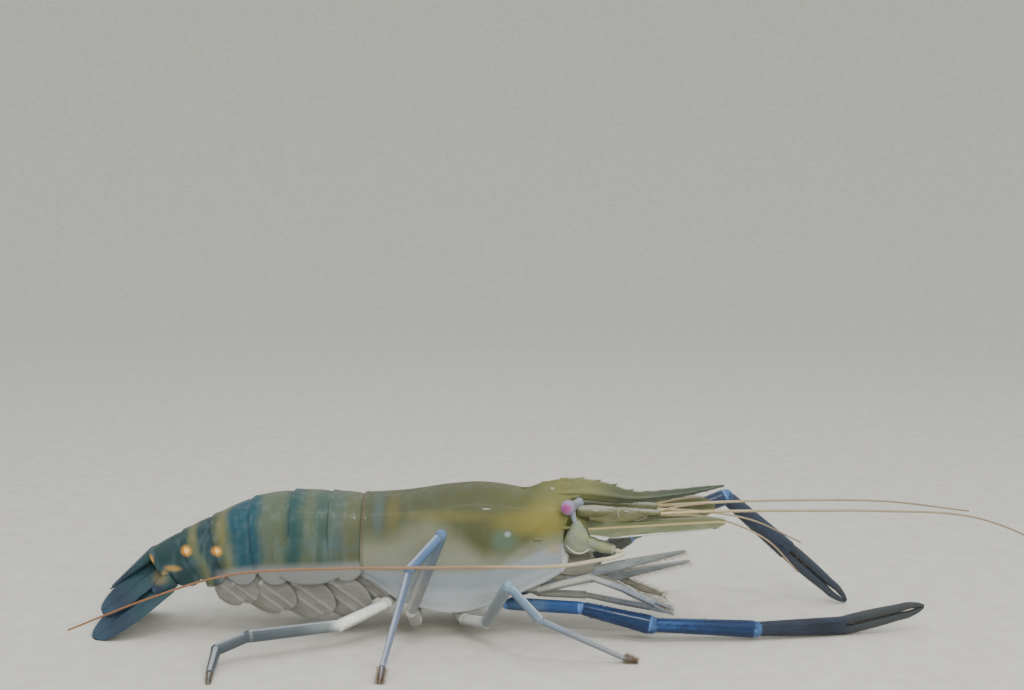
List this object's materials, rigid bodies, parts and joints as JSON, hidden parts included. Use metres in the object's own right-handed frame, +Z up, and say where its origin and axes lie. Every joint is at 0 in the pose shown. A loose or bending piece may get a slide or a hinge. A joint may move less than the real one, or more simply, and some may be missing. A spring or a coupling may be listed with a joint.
{
  "type": "giant river prawn, life-size museum model",
  "caption": "Life-size still model of a giant river prawn standing on its walking legs, long clawed arms laid forward, feelers spread and tail fan lowered.",
  "frame": {"origin": "on the floor under the middle of the bounding box, feelers included", "axes": "+X towards the head and the claw tips, +Y towards the animal's left, +Z up from the floor"},
  "size_m": [0.3549, 0.1391, 0.0571],
  "materials": {
    "carapace": "glossy, slightly translucent shell",
    "belly": "satin shell",
    "abdomen": "glossy banded shell",
    "tail": "glossy shell",
    "arm": "glossy shell",
    "claw": "satin shell with fine spines",
    "leg": "glossy shell",
    "feeler": "satin",
    "scale": "glossy, translucent",
    "eye": "glossy",
    "swimmeret": "satin, translucent"
  },
  "bodies": {
    "root": {"carapace": "carapace", "sternum": "belly", "mouthparts": "belly", "jaw_leg_R": "belly", "jaw_leg_L": "belly", "abdomen_1": "abdomen", "abdomen_2": "abdomen", "abdomen_3": "abdomen", "abdomen_4": "abdomen", "abdomen_5": "abdomen", "abdomen_6": "abdomen", "telson": "tail", "uropod_endopod_R": "tail", "uropod_endopod_L": "tail", "uropod_exopod_R": "tail", "uropod_exopod_L": "tail", "arm_ischium_R": "arm", "arm_merus_R": "arm", "arm_carpus_R": "arm", "arm_ischium_L": "arm", "arm_merus_L": "arm", "arm_carpus_L": "arm", "arm_palm_R": "claw", "arm_finger_R": "claw", "arm_palm_L": "claw", "arm_finger_L": "claw", "leg_1_R": "leg", "leg_1_L": "leg", "leg_3_R": "leg", "leg_3_L": "leg", "leg_4_R": "leg", "leg_4_L": "leg", "leg_5_R": "leg", "leg_5_L": "leg", "eyestalk_R": "leg", "eyestalk_L": "leg", "antennule_R": "feeler", "antennule_L": "feeler", "antenna_whip_base_R": "feeler", "antenna_whip_middle_R": "feeler", "antenna_whip_tip_R": "feeler", "antenna_whip_base_L": "feeler", "antenna_whip_middle_L": "feeler", "antenna_whip_tip_L": "feeler", "antenna_base_R": "scale", "antenna_base_L": "scale", "antennal_scale_R": "scale", "antennal_scale_L": "scale", "eye_R": "eye", "eye_L": "eye", "swimmeret_1_R": "swimmeret", "swimmeret_1_L": "swimmeret", "swimmeret_2_R": "swimmeret", "swimmeret_2_L": "swimmeret", "swimmeret_3_R": "swimmeret", "swimmeret_3_L": "swimmeret", "swimmeret_4_R": "swimmeret", "swimmeret_4_L": "swimmeret", "swimmeret_5_R": "swimmeret", "swimmeret_5_L": "swimmeret"}
  },
  "joints": []
}
